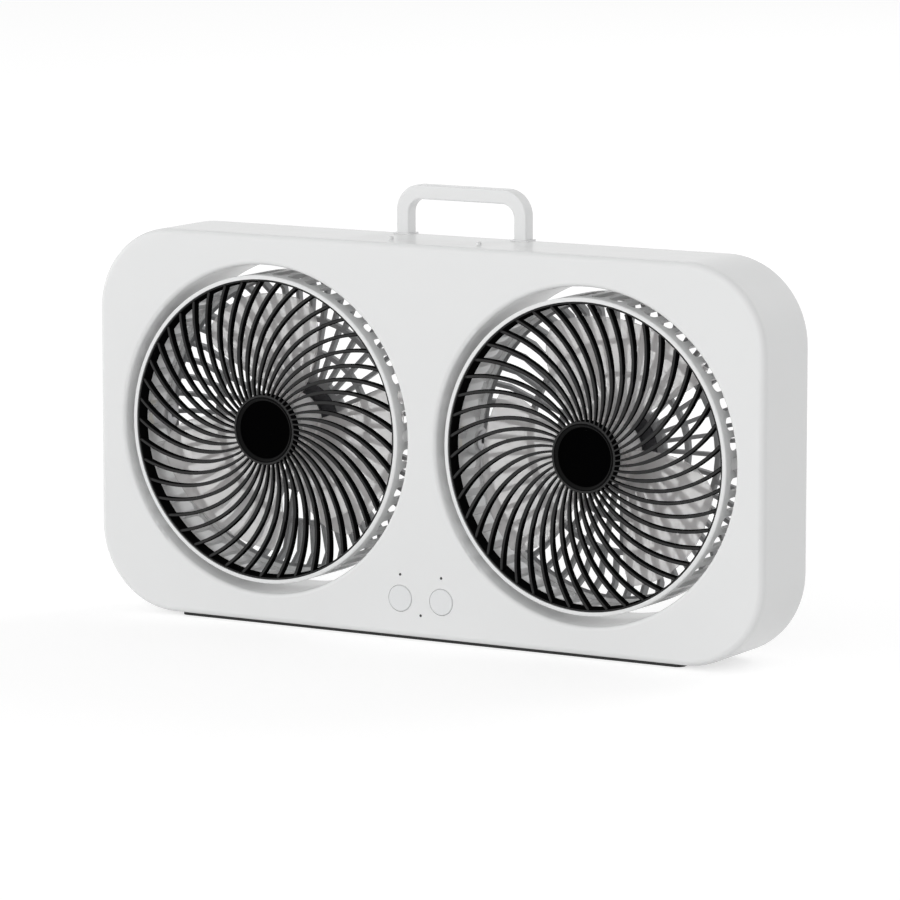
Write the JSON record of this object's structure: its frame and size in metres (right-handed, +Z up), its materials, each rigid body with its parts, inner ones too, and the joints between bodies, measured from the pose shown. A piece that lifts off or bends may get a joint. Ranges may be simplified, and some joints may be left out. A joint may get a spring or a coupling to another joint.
{
  "type": "dual-head desk fan",
  "caption": "Wide white rounded desk fan with round tilting heads behind black spiral grilles, a carrying handle on top and round push buttons.",
  "frame": {"origin": "centre of the anti-slip pad's underside, where the fan stands on the desk", "axes": "+Z up, +X to the right seen from the front, the front with the grilles and buttons faces -Y"},
  "size_m": [0.5, 0.0645, 0.293],
  "materials": {
    "case_white": "smooth glossy white",
    "button_white": "satin white",
    "grille_black": "satin black",
    "guard_grey": "matt dark grey",
    "blade_smoke": "smoky translucent",
    "rubber_black": "matt rubber",
    "screw_steel": "zinc plated",
    "pin_steel": "ground",
    "motor_dark": "dark painted can",
    "bush_plastic": "natural bearing plastic",
    "board_green": "solder mask",
    "switch_black": "matt",
    "lamp_dark": "dark lamp window",
    "cell_wrap": "shrink-wrapped cell",
    "tray_grey": "matt"
  },
  "bodies": {
    "housing": {"front_housing": "case_white", "rear_cover": "case_white", "base_pad": "rubber_black", "housing_screws": "screw_steel", "top_studs": "case_white", "handle": "case_white", "handle_sleeves": "case_white", "control_board": "board_green", "button_switches": "switch_black", "indicator_lights": "lamp_dark", "battery_cells": "cell_wrap", "battery_tray": "tray_grey", "charging_board": "board_green", "charging_socket": "screw_steel", "left_outer_bush": "bush_plastic", "left_inner_bush": "bush_plastic", "right_outer_bush": "bush_plastic", "right_inner_bush": "bush_plastic"},
    "left_head": {"left_drum": "case_white", "left_front_grille": "grille_black", "left_hub_cap": "grille_black", "left_rear_guard": "guard_grey", "left_motor": "motor_dark", "left_motor_screws": "screw_steel", "left_motor_cover": "guard_grey", "left_outer_pin": "pin_steel", "left_inner_pin": "pin_steel"},
    "left_rotor": {"left_impeller": "blade_smoke", "left_motor_shaft": "pin_steel", "left_impeller_nut": "grille_black"},
    "left_key": {"left_button": "button_white"},
    "right_head": {"right_drum": "case_white", "right_front_grille": "grille_black", "right_hub_cap": "grille_black", "right_rear_guard": "guard_grey", "right_motor": "motor_dark", "right_motor_screws": "screw_steel", "right_motor_cover": "guard_grey", "right_outer_pin": "pin_steel", "right_inner_pin": "pin_steel"},
    "right_rotor": {"right_impeller": "blade_smoke", "right_motor_shaft": "pin_steel", "right_impeller_nut": "grille_black"},
    "right_key": {"right_button": "button_white"}
  },
  "joints": [
    {"name": "left_head_tilt", "type": "hinge", "parent": "housing", "child": "left_head", "pos_m": [-0.1204, 0, 0.1305], "axis": [1, 0, 0], "range_deg": [-90, 90]},
    {"name": "left_fan_spin", "type": "hinge", "parent": "left_head", "child": "left_rotor", "pos_m": [-0.1204, 0, 0.1305], "axis": [0, 1, 0], "continuous": true},
    {"name": "left_button_press", "type": "slide", "parent": "housing", "child": "left_key", "axis": [0, 1, 0], "range_m": [0, 0.0012], "stiffness_N_per_m": 900, "springref_m": -0.001},
    {"name": "right_head_tilt", "type": "hinge", "parent": "housing", "child": "right_head", "pos_m": [0.1204, 0, 0.1305], "axis": [1, 0, 0], "range_deg": [-90, 90]},
    {"name": "right_fan_spin", "type": "hinge", "parent": "right_head", "child": "right_rotor", "pos_m": [0.1204, 0, 0.1305], "axis": [0, 1, 0], "continuous": true},
    {"name": "right_button_press", "type": "slide", "parent": "housing", "child": "right_key", "axis": [0, 1, 0], "range_m": [0, 0.0012], "stiffness_N_per_m": 900, "springref_m": -0.001}
  ]
}
